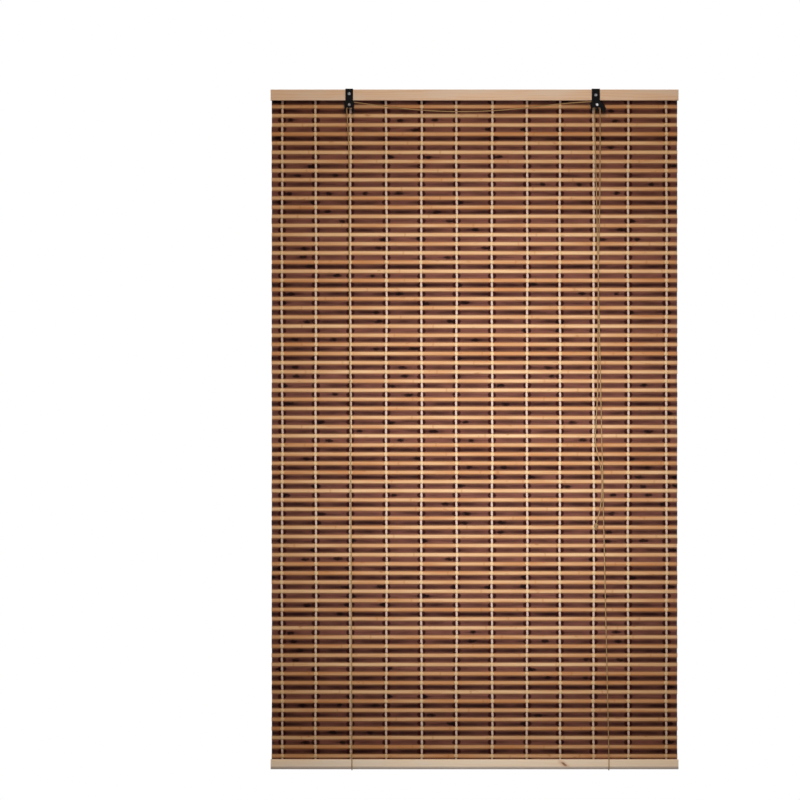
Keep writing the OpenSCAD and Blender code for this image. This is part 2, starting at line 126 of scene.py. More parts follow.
def bare_pine(name, pale, ring_wood, fibre_wood, patch_wood, gloss):
    """Pine with rings, fibres and greyer patches, the bottom rail's knot, and painted shade on its
    lower edge.
    """
    material, tree, bsdf = new_finish(name)
    spot = shade(tree, "TexCoord")
    where = spot.outputs["Object"]
    waver = stretched_noise(tree, where, (3, 30, 30), 2.0)
    fibre = stretched_noise(tree, where, (12, 500, 900), 4.0)
    _, y, z = shade(tree, "SeparateXYZ", Vector=where).outputs
    across = calc(tree, "MULTIPLY", z, RINGS_UP)
    across = calc(tree, "ADD", across, calc(tree, "MULTIPLY", y, RINGS_DEEP))
    rings = calc(tree, "SINE", calc(tree, "ADD", across, calc(tree, "MULTIPLY", waver, RINGS_WAVER)))
    ring = calc(tree, "MULTIPLY", ease(tree, rings, 0.1, 1.0), 0.45)
    plain = mix(tree, ring, pale, ring_wood)
    plain = mix(tree, calc(tree, "MULTIPLY", fibre, 0.5), plain, fibre_wood)
    # Long greyer patches
    patch = ease(tree, stretched_noise(tree, where, (7, 15, 40), 2.0), 0.42, 0.62)
    plain = mix(tree, calc(tree, "MULTIPLY", patch, 0.7), plain, patch_wood)
    # One slanting knot in a red ring on the face of the bottom rail
    offset = shade(
        tree, "Mapping", {"vector_type": "TEXTURE"}, Vector=where,
        Location=RAIL_KNOT_PLACE, Rotation=(0, RAIL_KNOT_SLANT, 0), Scale=RAIL_KNOT_SIZE,
    ).outputs[0]
    reach = shade(tree, "VectorMath", {"operation": "LENGTH"}, Vector=offset).outputs["Value"]
    reach = calc(tree, "ADD", reach, calc(tree, "SUBTRACT", fibre, 0.5))
    halo = calc(tree, "MULTIPLY", ease(tree, reach, 2.6, 1.0), 0.5)
    plain = mix(tree, halo, plain, tint(222, 172, 134))
    knot = calc(tree, "MULTIPLY", ease(tree, reach, 1.15, 0.35), 0.85)
    plain = mix(tree, knot, plain, tint(112, 62, 38))
    # Painted shade: the lower edge of the bottom rail turns darker and greyer, in a ragged band
    low_edge_shade = calc(tree, "ADD", z, calc(tree, "MULTIPLY", fibre, LOW_SHADE_RAGGED))
    low_edge_shade = calc(tree, "MULTIPLY", ease(tree, low_edge_shade, LOW_SHADE_FROM, LOW_SHADE_FULL), 0.9)
    plain = mix(tree, low_edge_shade, plain, tint(190, 177, 168))
    # Sawn ends, darker, where the face looks along the batten
    facing = shade(tree, "SeparateXYZ", Vector=spot.outputs["Normal"]).outputs[0]
    sawn = ease(tree, calc(tree, "ABSOLUTE", facing), 0.6, 0.9)
    plain = mix(tree, calc(tree, "MULTIPLY", sawn, 0.5), plain, tint(196, 150, 106))
    wire(
        tree, bsdf, Base_Color=plain, Specular_IOR_Level=gloss,
        Roughness=calc(tree, "ADD", calc(tree, "MULTIPLY", fibre, 0.2), 0.5),
        Normal=relief(tree, calc(tree, "ADD", fibre, ring), 0.0002, 0.4),
    )
    return material


def dress(piece, material):
    """Gives a piece its finish."""
    piece.data.materials.clear()
    piece.data.materials.append(material)


head_pine = bare_pine(
    "head_pine", pale=tint(234, 204, 176), ring_wood=tint(217, 178, 143),
    fibre_wood=tint(221, 186, 155), patch_wood=tint(228, 207, 188), gloss=0.12,
)
dress(node["head_rail"], head_pine)
# Painted light: the bottom rail's pine is a paler, glossier copy of the head rail's, making up for the
# dimmer light at the foot of the blind
brightened_foot_pine = bare_pine(
    "brightened_foot_pine", pale=tint(254, 236, 210), ring_wood=tint(250, 220, 186),
    fibre_wood=tint(253, 229, 200), patch_wood=tint(251, 236, 218), gloss=0.4,
)
dress(node["bottom_rail"], brightened_foot_pine)


# Light slats: 74 thin splits of natural bamboo, crowned on the face and flat behind.
# They are split and planed by eye, so no two have quite the same height, line or tone.
# The first and the last are stapled behind the rails.
SLAT_PITCH = 0.0202
FIRST_SLAT = -0.0168
MAT_MIDDLE = 0.0045
SLAT_LENGTH = 0.896
LIGHT_ROWS = 74
LIGHT_HEIGHT = 0.009
LIGHT_FRONT, LIGHT_BACK = -0.014, -0.0116
LIGHT_CROWN = 0.0009
LIGHT_UNEVEN = 0.025
SLAT_CUTS = 5
CANE_JOINT_APART = 0.29
# How far a slat may leave its true line and length, in metres and as a share of its length
SLAT_TILT, SLAT_BOW, SLAT_LEAN = 0.0001, 0.0001, 0.00008
SLAT_LONGER = 0.0012


def begin(shape, **sizes):
    """Adds a primitive with everything else deselected, and opens it for editing."""
    bpy.ops.object.select_all(action="DESELECT")
    getattr(bpy.ops.mesh, f"primitive_{shape}_add")(enter_editmode=True, **sizes)
    return bpy.context.object


def pick_edges(piece, wanted):
    """Selects the edges of the piece being edited that are wanted."""
    bpy.ops.mesh.select_mode(type="EDGE")
    bpy.ops.mesh.select_all(action="DESELECT")
    mesh = bmesh.from_edit_mesh(piece.data)
    for edge in mesh.edges:
        if wanted(edge):
            edge.select_set(True)
    mesh.select_flush_mode()
    bmesh.update_edit_mesh(piece.data)


def settle(piece, name):
    """Closes editing, puts the object's place into its mesh and names it."""
    bpy.ops.object.mode_set(mode="OBJECT")
    bpy.ops.object.transform_apply(location=True, rotation=True, scale=True)
    piece.name = piece.data.name = name
    return piece


def bamboo_split(height, front, back, crown):
    """One straight slat, with its middle height at z = 0."""
    piece = begin("cube", size=1, location=(MAT_MIDDLE, (front + back) / 2, 0))
    bpy.ops.transform.resize(value=(SLAT_LENGTH, back - front, height))

    def runs_along(edge):
        return abs(edge.verts[0].co.x - edge.verts[1].co.x) > SLAT_LENGTH / 2

    def face_edge(edge):
        return runs_along(edge) and all(v.co.y < 0 for v in edge.verts)

    def back_edge(edge):
        outer = abs(edge.verts[0].co.z) > 0.49 * height
        return runs_along(edge) and outer and all(v.co.y > 0 for v in edge.verts)

    pick_edges(piece, face_edge)
    bpy.ops.mesh.bevel(offset=crown, segments=2, affect="EDGES")
    pick_edges(piece, back_edge)
    bpy.ops.mesh.bevel(offset=crown * 0.4, segments=1, affect="EDGES")
    pick_edges(piece, runs_along)
    bpy.ops.mesh.subdivide(number_cuts=SLAT_CUTS)
    return settle(piece, "slat_pattern")


def another(pattern):
    """A copy of a piece, with a mesh of its own."""
    copy = pattern.copy()
    copy.data = pattern.data.copy()
    bpy.context.collection.objects.link(copy)
    return copy


def join_up(parts, name):
    """Joins pieces into one and names it."""
    bpy.ops.object.select_all(action="DESELECT")
    for part in parts:
        part.select_set(True)
    bpy.context.view_layer.objects.active = parts[0]
    bpy.ops.object.join()
    whole = bpy.context.object
    whole.name = whole.data.name = name
    return whole


def lay_rows(pattern, name, rows, first, uneven, chance):
    """Copies the pattern slat down the mat, each copy a little uneven, and joins them."""
    copies = []
    for row in range(rows):
        copy = another(pattern)
        middle = first - row * SLAT_PITCH
        tilt, bow = chance.uniform(-1, 1) * SLAT_TILT, chance.uniform(-1, 1) * SLAT_BOW
        longer = 1 + chance.uniform(-1, 0.6) * SLAT_LONGER
        lean = chance.uniform(-1, 1) * SLAT_LEAN
        heights = [1 - chance.random() * uneven for _ in range(SLAT_CUTS + 2)]
        for vertex in copy.data.vertices:
            along = 2 * (vertex.co.x - MAT_MIDDLE) / SLAT_LENGTH
            step = round((along + 1) / 2 * (SLAT_CUTS + 1))
            height = vertex.co.z * heights[step]
            vertex.co.x = MAT_MIDDLE + (vertex.co.x - MAT_MIDDLE) * longer
            vertex.co.y += lean * along
            vertex.co.z = middle + height + tilt * along + bow * (1 - along * along)
        copies.append(copy)
    mat = join_up(copies, name)
    bpy.data.objects.remove(pattern)
    bpy.ops.object.shade_smooth_by_angle(angle=math.radians(40))
    return mat


def rows_of(tree, shift):
    """For any point of the mat: x, its slat's number, its share of a pitch below the slat's
    middle, and a random number for the slat."""
    where = shade(tree, "TexCoord").outputs["Object"]
    x, _, z = shade(tree, "SeparateXYZ", Vector=where).outputs
    drop = calc(tree, "DIVIDE", calc(tree, "SUBTRACT", FIRST_SLAT, z), SLAT_PITCH)
    row = calc(tree, "FLOOR", calc(tree, "ADD", drop, shift))
    below = calc(tree, "SUBTRACT", calc(tree, "SUBTRACT", drop, row), 0.5 - shift)
    lot = shade(tree, "TexWhiteNoise", {"noise_dimensions": "1D"}, W=row).outputs["Value"]
    return x, row, below, lot


def fibre_of(tree, x, row, below, length, width):
    """Streaks that run along a slat, different on each."""
    spread = shade(
        tree, "CombineXYZ",
        X=calc(tree, "DIVIDE", x, length),
        Y=calc(tree, "DIVIDE", calc(tree, "MULTIPLY", below, SLAT_PITCH), width),
        Z=calc(tree, "MULTIPLY", row, 3.7),
    ).outputs[0]
    return shade(tree, "TexNoise", Vector=spread, Scale=1.0, Detail=4.0).outputs[0]


def natural_bamboo():
    """Straw to honey brown, each slat in its own tone, with fine fibres along it."""
    material, tree, bsdf = new_finish("natural_bamboo")
    x, row, below, lot = rows_of(tree, 0.5)
    fibre = fibre_of(tree, x, row, below, 0.07, 0.0011)
    cloud = fibre_of(tree, x, row, below, 0.16, 0.012)
    tone = calc(tree, "ADD", calc(tree, "MULTIPLY", lot, 0.3), calc(tree, "MULTIPLY", cloud, 0.9))
    colour = mix(tree, ease(tree, tone, 0.24, 0.96), tint(187, 126, 77), tint(223, 184, 140))
    streak = calc(tree, "MULTIPLY", ease(tree, fibre, 0.5, 0.75), 0.35)
    colour = mix(tree, streak, colour, tint(156, 104, 61))
    # Brown stains here and there
    stain = ease(tree, fibre_of(tree, x, row, below, 0.022, 0.009), 0.62, 0.78)
    colour = mix(tree, calc(tree, "MULTIPLY", stain, 0.6), colour, tint(156, 99, 56))
    # Painted shade: the upper and lower edges of the crown are browner, where the crown turns from the
    # light
    edge = ease(tree, calc(tree, "ABSOLUTE", below), 0.1, 0.225)
    colour = mix(tree, calc(tree, "MULTIPLY", edge, 0.75), colour, tint(126, 76, 40))
    # The joints of the cane: a fine dark line across the slat, about three to a slat
    joints = calc(tree, "DIVIDE", x, CANE_JOINT_APART)
    joints = calc(tree, "ADD", joints, calc(tree, "MULTIPLY", lot, 7.3))
    apart = calc(tree, "ABSOLUTE", calc(tree, "SUBTRACT", calc(tree, "FRACT", joints), 0.5))
    joint = ease(tree, apart, 0.011, 0.001)
    colour = mix(tree, calc(tree, "MULTIPLY", joint, 0.3), colour, tint(158, 99, 54))
    wire(
        tree, bsdf, Base_Color=colour, Specular_IOR_Level=0.1,
        Roughness=calc(tree, "ADD", calc(tree, "MULTIPLY", fibre, 0.25), 0.42),
        Normal=relief(tree, calc(tree, "ADD", fibre, joint), 0.0003, 0.5),
    )
    return material


chance = random.Random(74)
light_mat = lay_rows(
    bamboo_split(LIGHT_HEIGHT, LIGHT_FRONT, LIGHT_BACK, LIGHT_CROWN),
    "light_slat_rows", LIGHT_ROWS, FIRST_SLAT, LIGHT_UNEVEN, chance,
)
dress(light_mat, natural_bamboo())
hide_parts("light_slats")
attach(light_mat, "blind")


# Dark slats: 73 splits scorched to a red brown, one between each pair of light ones.
# They lie a little further back, and the scorching gathers in black knots. Beside the warp yarns, which
# grip the slat there, a dark mark is painted shade.
DARK_ROWS = 73
DARK_HEIGHT = 0.0122
DARK_FRONT, DARK_BACK = -0.0134, -0.0114
DARK_CROWN = 0.0008
DARK_UNEVEN = 0.02
KNOT_APART = 0.08
KNOT_HALF_LENGTH, KNOT_LONGER = 0.008, 0.006
KNOT_HALF_HEIGHT = 0.0046
# A painted shade mark's middle and half length from the warp line, and its half height in pitches
YARN_SHADE_MIDDLE, YARN_SHADE_HALF, YARN_SHADE_HIGH = 0.0049, 0.0047, 0.29
WARP_EDGE = 0.022
# How far each warp line leaves even spacing, in millimetres
WARP_DRIFT = [1, -2, -3, -1, -1, -1, 0, 0, -5, -8, -9, -2]
WARP_STEP = (SLAT_LENGTH - 2 * WARP_EDGE) / (len(WARP_DRIFT) - 1)
WARP_LINES = [
    MAT_MIDDLE - SLAT_LENGTH / 2 + WARP_EDGE + line * WARP_STEP + drift / 1000
    for line, drift in enumerate(WARP_DRIFT)
]


def scorched_bamboo():
    """Red brown to near black, with fibres, black knots and painted shade beside the yarns."""
    material, tree, bsdf = new_finish("scorched_bamboo")
    x, row, below, lot = rows_of(tree, 0.0)
    fibre = fibre_of(tree, x, row, below, 0.05, 0.0012)
    cloud = fibre_of(tree, x, row, below, 0.07, 0.02)
    tone = calc(tree, "ADD", calc(tree, "MULTIPLY", lot, 0.4), calc(tree, "MULTIPLY", cloud, 0.95))
    colour = mix(tree, ease(tree, tone, 0.3, 1.02), tint(37, 14, 13), tint(119, 74, 63))
    streak = calc(tree, "MULTIPLY", ease(tree, fibre, 0.48, 0.72), 0.55)
    colour = mix(tree, streak, colour, tint(40, 17, 16))
    # The planed edges are scorched less
    from_middle = calc(tree, "ABSOLUTE", below)
    edge = calc(tree, "MULTIPLY", ease(tree, from_middle, 0.08, 0.3), 0.5)
    colour = mix(tree, edge, colour, tint(147, 103, 76))
    # Black knots with a tail along the grain, about three to a slat
    spread = calc(tree, "ADD", calc(tree, "DIVIDE", x, KNOT_APART), calc(tree, "MULTIPLY", lot, 5.3))
    cell = shade(tree, "CombineXYZ", X=calc(tree, "FLOOR", spread), Y=row).outputs[0]
    draw = shade(tree, "TexWhiteNoise", {"noise_dimensions": "2D"}, Vector=cell)
    where, size, rise = shade(tree, "SeparateColor", Color=draw.outputs["Color"]).outputs
    middle = calc(tree, "ADD", calc(tree, "MULTIPLY", where, 0.4), 0.3)
    half_length = calc(tree, "ADD", calc(tree, "MULTIPLY", size, KNOT_LONGER), KNOT_HALF_LENGTH)
    along = calc(tree, "SUBTRACT", calc(tree, "FRACT", spread), middle)
    along = calc(tree, "DIVIDE", calc(tree, "MULTIPLY", along, KNOT_APART), half_length)
    rise = calc(tree, "MULTIPLY", calc(tree, "SUBTRACT", rise, 0.5), 0.12)
    up = calc(tree, "SUBTRACT", below, rise)
    up = calc(tree, "DIVIDE", calc(tree, "MULTIPLY", up, SLAT_PITCH), KNOT_HALF_HEIGHT)
    up = calc(tree, "MULTIPLY", up, up)
    blotch = fibre_of(tree, x, row, below, 0.007, 0.004)
    ragged = calc(tree, "MULTIPLY", calc(tree, "SUBTRACT", blotch, 0.5), 2.0)
    core = calc(tree, "ADD", calc(tree, "ADD", calc(tree, "MULTIPLY", along, along), up), ragged)
    slim = calc(tree, "MULTIPLY", along, 0.45)
    tail = calc(tree, "ADD", calc(tree, "MULTIPLY", slim, slim), calc(tree, "MULTIPLY", up, 2.2))
    tail = calc(tree, "MULTIPLY", ease(tree, calc(tree, "ADD", tail, ragged), 1.3, -0.2), 0.4)
    knot = calc(tree, "MAXIMUM", ease(tree, core, 1.3, 0.0), tail)
    knot = calc(tree, "MULTIPLY", knot, calc(tree, "GREATER_THAN", draw.outputs["Value"], 0.74))
    # Painted shade: a round dark mark on both sides of every warp line
    nearest = 1.0
    for line in WARP_LINES:
        apart = calc(tree, "ABSOLUTE", calc(tree, "SUBTRACT", x, line))
        nearest = calc(tree, "MINIMUM", apart, nearest)
    aside = calc(tree, "DIVIDE", calc(tree, "SUBTRACT", nearest, YARN_SHADE_MIDDLE), YARN_SHADE_HALF)
    aside = calc(tree, "MULTIPLY", aside, aside)
    high = calc(tree, "DIVIDE", from_middle, YARN_SHADE_HIGH)
    yarn_shade_round = calc(tree, "ADD", aside, calc(tree, "MULTIPLY", high, high))
    yarn_shade_round = calc(tree, "ADD", yarn_shade_round, calc(tree, "MULTIPLY", ragged, 0.9))
    yarn_shade = ease(tree, yarn_shade_round, 1.3, 0.35)
    colour = mix(tree, calc(tree, "MULTIPLY", yarn_shade, 0.92), colour, tint(44, 10, 4))
    colour = mix(tree, calc(tree, "MULTIPLY", knot, 0.94), colour, tint(15, 3, 3))
    wire(
        tree, bsdf, Base_Color=colour, Specular_IOR_Level=0.02,
        Roughness=calc(tree, "ADD", calc(tree, "MULTIPLY", fibre, 0.25), 0.5),
        Normal=relief(tree, calc(tree, "SUBTRACT", fibre, knot), 0.0003, 0.5),
    )
    return material


dark_mat = lay_rows(
    bamboo_split(DARK_HEIGHT, DARK_FRONT, DARK_BACK, DARK_CROWN),
    "dark_slat_rows", DARK_ROWS, FIRST_SLAT - SLAT_PITCH / 2, DARK_UNEVEN, chance,
)
dress(dark_mat, scorched_bamboo())
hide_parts("dark_slats")
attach(dark_mat, "blind")


# Warp yarns: twelve lines of twined cotton, two strands to a line. One strand passes in
# front of the light slats and behind the dark ones, the other the opposite way, and
# they turn round each other in the gap between two slats.
YARN_BELOW = 0.005
WARP_FOOT = FIRST_SLAT - (LIGHT_ROWS - 1) * SLAT_PITCH - YARN_BELOW
STRAND_SIDES = 6
# The slant of the plies, and how closely they follow, in radians a metre
PLY_SLANT, PLY_CLOSE = 1.4, 5200.0
# A line's slow and quick waves: how far it strays, and how fast, in radians a metre
SLOW_STRAY, SLOW_WAVE = 0.0007, 9
QUICK_STRAY, QUICK_WAVE = 0.0004, 33
# Each ring of a strand over one pitch: millimetres below the light slat's middle, aside, depth,
# half width and half thickness
BEFORE_LIGHT = [
    (-4.65, -0.4, -12.7, 2.0, 0.6), (-3.8, -0.2, -14.3, 3.0, 0.5), (-2.0, -0.1, -14.5, 4.5, 0.5),
    (0, 0, -14.5, 5.0, 0.5), (2.0, 0.1, -14.5, 4.5, 0.5), (3.8, 0.2, -14.3, 3.0, 0.5),
    (4.65, 0.4, -12.7, 2.0, 0.6), (5.9, 0.2, -11.0, 2.7, 0.5), (10.1, 0, -10.85, 3.2, 0.5),
    (14.3, -0.2, -11.0, 2.7, 0.5), (15.55, -0.4, -12.7, 2.0, 0.6),
]
BEFORE_DARK = [
    (-4.65, 0.4, -12.7, 2.0, 0.6), (-3.7, 0.2, -11.2, 2.7, 0.5), (0, 0, -11.05, 3.2, 0.5),
    (3.7, -0.2, -11.2, 2.7, 0.5), (4.65, -0.4, -12.7, 2.0, 0.6), (5.5, -0.2, -13.7, 2.4, 0.5),
    (7.6, -0.1, -14.05, 2.7, 0.6), (12.6, 0.1, -14.05, 2.7, 0.6), (14.7, 0.2, -13.7, 2.4, 0.5),
    (15.55, 0.4, -12.7, 2.0, 0.6),
]


def stray(line, height):
    """How far a hand-woven line leaves its place sideways at some height."""
    slow = SLOW_STRAY * math.sin(SLOW_WAVE * height + 40 * line)
    return slow + QUICK_STRAY * math.sin(QUICK_WAVE * height + 70 * line)


def twined_yarns(name, rings):
    """One pitch of a strand, drawn out ring by ring, repeated down the mat, copied to each line."""
    points = [Vector((aside, depth, -down)) / 1000 for down, aside, depth, _, _ in rings]
    widths = [half / 1000 for _, _, _, half, _ in rings]
    thicks = [half / 1000 for _, _, _, _, half in rings]
    piece = begin("circle", vertices=STRAND_SIDES, radius=1, fill_type="NOTHING", location=(0, 0, 0))
    bpy.ops.transform.resize(value=(widths[0], thicks[0], 1))
    bpy.ops.transform.translate(value=points[0])
    for i in range(1, len(rings)):
        bpy.ops.mesh.extrude_region_move(TRANSFORM_OT_translate={"value": points[i] - points[i - 1]})
        bpy.ops.transform.resize(
            value=(widths[i] / widths[i - 1], thicks[i] / thicks[i - 1], 1), center_override=points[i],
        )
    bpy.ops.object.mode_set(mode="OBJECT")
    run = piece.modifiers.new("run", "ARRAY")
    run.count = LIGHT_ROWS
    run.use_relative_offset = False
    run.use_constant_offset = True
    run.constant_offset_displace = (0, 0, -SLAT_PITCH)
    run.use_merge_vertices = True
    run.merge_threshold = 0.00002
    bpy.ops.object.modifier_apply(modifier="run")
    bpy.ops.object.mode_set(mode="EDIT")
    bpy.ops.mesh.select_all(action="SELECT")
    bpy.ops.transform.translate(value=(0, 0, FIRST_SLAT))
    bpy.ops.mesh.bisect(plane_co=(0, 0, WARP_FOOT), plane_no=(0, 0, -1), clear_outer=True)
    bpy.ops.mesh.select_all(action="SELECT")
    bpy.ops.mesh.fill_holes(sides=STRAND_SIDES)
    bpy.ops.mesh.normals_make_consistent(inside=False)
    settle(piece, name)
    copies = []
    for line in WARP_LINES:
        copy = another(piece)
        for vertex in copy.data.vertices:
            vertex.co.x += line + stray(line, vertex.co.z)
        copies.append(copy)
    bpy.data.objects.remove(piece)
    yarns = join_up(copies, name)
    bpy.ops.object.shade_smooth()
    return yarns


def twisted_cotton(name, pale, shadow):
    """Soft cotton with its plies on the slant."""
    material, tree, bsdf = new_finish(name)
    where = shade(tree, "TexCoord").outputs["Object"]
    x, _, z = shade(tree, "SeparateXYZ", Vector=where).outputs
    slant = calc(tree, "ADD", calc(tree, "MULTIPLY", x, PLY_SLANT), z)
    slant = calc(tree, "MULTIPLY", slant, PLY_CLOSE)
    ply = calc(tree, "ADD", calc(tree, "MULTIPLY", calc(tree, "SINE", slant), 0.5), 0.5)
    fluff = stretched_noise(tree, where, (900, 900, 700), 3.0)
    dirt = stretched_noise(tree, where, (60, 60, 45), 2.0)
    worn = calc(tree, "ADD", calc(tree, "MULTIPLY", ply, 0.35), calc(tree, "MULTIPLY", dirt, 0.7))
    wire(
        tree, bsdf, Base_Color=mix(tree, ease(tree, worn, 0.15, 0.85), shadow, pale),
        Roughness=0.9, Specular_IOR_Level=0.05, Sheen_Weight=0.1,
        Normal=relief(tree, calc(tree, "ADD", ply, calc(tree, "MULTIPLY", fluff, 0.7)), 0.0003, 0.55),
    )
    return material


yarns_on_light = twined_yarns("yarns_before_light_slats", BEFORE_LIGHT)
dress(yarns_on_light, twisted_cotton("tan_cotton", tint(234, 204, 158), tint(226, 187, 139)))
yarns_on_dark = twined_yarns("yarns_before_dark_slats", BEFORE_DARK)
dress(yarns_on_dark, twisted_cotton("pale_cotton", tint(223, 197, 181), tint(203, 172, 154)))
for yarns, stands_for in ((yarns_on_light, "front_yarns"), (yarns_on_dark, "rear_yarns")):
    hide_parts(stands_for)
    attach(yarns, "blind")


# Staples: drawn steel wire, driven from behind through the first and the last light slat
# into the rails. Two more straddle the ends of the cords.
def drawn_wire():
    """Grey steel with a dull skin."""
    material, tree, bsdf = new_finish("drawn_wire")
    where = shade(tree, "TexCoord").outputs["Object"]
    dull = stretched_noise(tree, where, (300, 300, 300), 3.0)
    wire(
        tree, bsdf, Metallic=1.0,
        Base_Color=mix(tree, dull, tint(150, 150, 154), tint(196, 196, 198)),
        Roughness=calc(tree, "ADD", calc(tree, "MULTIPLY", dull, 0.25), 0.25),
    )
    return material


staple_wire = drawn_wire()
for staples in ("head_staples", "foot_staples", "cord_staples"):
    dress(node[staples], staple_wire)


# Straps, cheeks, lock cam and pin: strips and plates stamped from steel, painted gloss black.
# Each strap hooks over the head rail and is screwed to it; a cheek's flange lies under the
# rail and its tongue locks into the strap.
def gloss_black():
    """Black paint with a little orange peel and a few scuffs."""
    material, tree, bsdf = new_finish("gloss_black_paint")
    where = shade(tree, "TexCoord").outputs["Object"]
    orange_peel = stretched_noise(tree, where, (700, 700, 700), 2.0)
    scuff = stretched_noise(tree, where, (90, 90, 160), 4.0)
    wire(
        tree, bsdf, Base_Color=mix(tree, ease(tree, scuff, 0.55, 0.8), tint(6, 6, 7), tint(18, 17, 17)),
        Roughness=calc(tree, "ADD", calc(tree, "MULTIPLY", scuff, 0.3), 0.2),
        Specular_IOR_Level=0.05,
        Normal=relief(tree, orange_peel, 0.0001, 0.15),
    )
    return material


EDGE_ROUND = 0.0003


def break_edges(piece):
    """Stamped edges are never sharp: the node keeps its mesh, and modifiers give a fine round."""
    weld = piece.modifiers.new("one_skin", "WELD")
    weld.merge_threshold = 0.000005
    flat = piece.modifiers.new("whole_faces", "DECIMATE")
    flat.decimate_type = "DISSOLVE"
    flat.angle_limit = math.radians(0.5)
    edge = piece.modifiers.new("broken_edge", "BEVEL")
    edge.width = EDGE_ROUND
    edge.segments = 2
    edge.limit_method = "ANGLE"
    edge.angle_limit = math.radians(35)
    edge.use_clamp_overlap = True


black_paint = gloss_black()
for plate in ("left_strap", "left_rear_cheek", "right_strap", "right_rear_cheek"):
    dress(node[plate], black_paint)
    break_edges(node[plate])
for catch in ("lock_cam", "lock_pin"):
    dress(node[catch], black_paint)


# Sheaves: three grooved wheels moulded from black plastic. One is in the left pulley, and two
# are side by side in the cord lock; each turns on its axle under the cord.
def moulded_black():
    """Smooth dark plastic with a fine mould grain."""
    material, tree, bsdf = new_finish("moulded_black_plastic")
    where = shade(tree, "TexCoord").outputs["Object"]
    grain = stretched_noise(tree, where, (1500, 1500, 1500), 2.0)
    wire(
        tree, bsdf, Base_Color=mix(tree, grain, tint(10, 10, 11), tint(20, 20, 22)),
        Specular_IOR_Level=0.08,
        Roughness=calc(tree, "ADD", calc(tree, "MULTIPLY", grain, 0.15), 0.32),
        Normal=relief(tree, grain, 0.00005, 0.3),
    )
    return material


sheave_plastic = moulded_black()
for sheave in ("left_sheave", "right_front_sheave", "right_rear_sheave"):
    dress(node[sheave], sheave_plastic)


# Axles, washer and strap screws: zinc-plated steel. The axles are riveted over both cheeks,
# the left one tarnished, and a pan-head screw, duller still, holds each strap to the rail.
def bright_zinc(name, dull, bright):
    """Zinc plate, cloudy between its dull and bright tones."""
    material, tree, bsdf = new_finish(name)
    where = shade(tree, "TexCoord").outputs["Object"]
    bloom = stretched_noise(tree, where, (400, 400, 400), 3.0)
    wire(
        tree, bsdf, Metallic=1.0,
        Base_Color=mix(tree, bloom, dull, bright),
        Roughness=calc(tree, "ADD", calc(tree, "MULTIPLY", bloom, 0.25), 0.2),
    )
    return material


riveted_zinc = bright_zinc("riveted_zinc", tint(121, 120, 120), tint(170, 169, 169))
for fastener in ("right_axle", "sheave_washer"):
    dress(node[fastener], riveted_zinc)
dress(node["left_axle"], bright_zinc("tarnished_zinc", tint(80, 76, 74), tint(112, 106, 103)))
dress(node["strap_screws"], bright_zinc("screw_zinc", tint(90, 90, 93), tint(137, 137, 139)))


# Lift cords: two braided cords of khaki cotton, 2.2 mm thick. Each is knotted behind the
# head rail, runs down the back, under the bottom rail and up the front to its sheave.
# The left one crosses to the right, and both hang down together to the pull knot.
CORD_THICK = 0.0022
CORD_SIDES = 8
CORD_STEPS = 5
# How closely the plaits follow along the cord and round it, in radians a girth and a turn
PLAIT_RUN, PLAIT_TURN = 12.6, 25.13
# The routes' points, in millimetres
LEFT_ROUTE = [
    (-280, -9.6, -14.2), (-280, -10.1, -17.5), (-279.8, -8.9, -40), (-273, -8.9, -760),
    (-266, -8.9, -1490), (-266, -8.9, -1496), (-266, -9.6, -1498.8), (-266, -11.6, -1500.8),
    (-266, -14.4, -1501.5), (-266, -23, -1501.5), (-266, -25.8, -1500.8), (-266, -27.8, -1498.8),
    (-266, -28.5, -1496), (-266, -28.5, -1478), (-268, -27.8, -909), (-271.5, -27.2, -458),
    (-272.5, -26.8, -141), (-277.5, -26.4, -46), (-278.6, -26.4, -33.5), (-277.7, -26.4, -30.2),
    (-275.3, -26.4, -27.8), (-271.2, -26.4, -26.9), (-235, -26.4, -31.6), (-200, -26.4, -36.2),
    (-140, -26.4, -43), (-80, -26.4, -47.4), (-20, -26.4, -48.6), (40, -26.4, -47),
    (100, -26.4, -42.2), (150, -26.4, -36.6), (200, -26.4, -31.2), (240, -26.4, -27.9),
    (274, -26.4, -26.9), (278, -26.4, -27.8), (280.4, -26.4, -30.2), (281.3, -26.4, -33.5),
    (281.5, -26.4, -60), (281, -26.4, -230), (278, -26.3, -370), (277, -26.2, -550),
    (276, -24.9, -670), (273, -23.9, -730), (271.5, -23.2, -775), (277, -22.8, -808),
    (284.5, -22.8, -842), (285.5, -22.8, -887), (282.5, -22.8, -921), (278, -22.8, -941),
    (274, -22.8, -957),
]
RIGHT_ROUTE = [
    (280, -9.6, -14.2), (280, -10.1, -17.5), (280.2, -8.9, -40), (290, -8.9, -760),
    (301, -8.9, -1490), (301, -8.9, -1496), (301, -9.6, -1498.8), (301, -11.6, -1500.8),
    (301, -14.4, -1501.5), (301, -23, -1501.5), (301, -25.8, -1500.8), (301, -27.8, -1498.8),
    (301, -28.5, -1496), (301, -28.5, -1478), (285, -24.7, -760), (269.5, -21, -46),
    (268.1, -21, -33.5), (269, -21, -30.2), (271.4, -21, -27.8), (274.7, -21, -26.9),
    (278, -21, -27.8), (280.4, -21, -30.2), (281.3, -21, -33.5), (281.5, -21, -60),
    (281, -20.8, -230), (278, -20.6, -370), (277, -20.5, -550), (276, -20.4, -670),
    (273, -20.4, -730), (271.5, -20.4, -775), (277, -20.4, -808), (284.5, -20.4, -842),
    (285.5, -20.4, -887), (282.5, -20.4, -921), (278, -20.4, -941), (274, -20.4, -957),
]


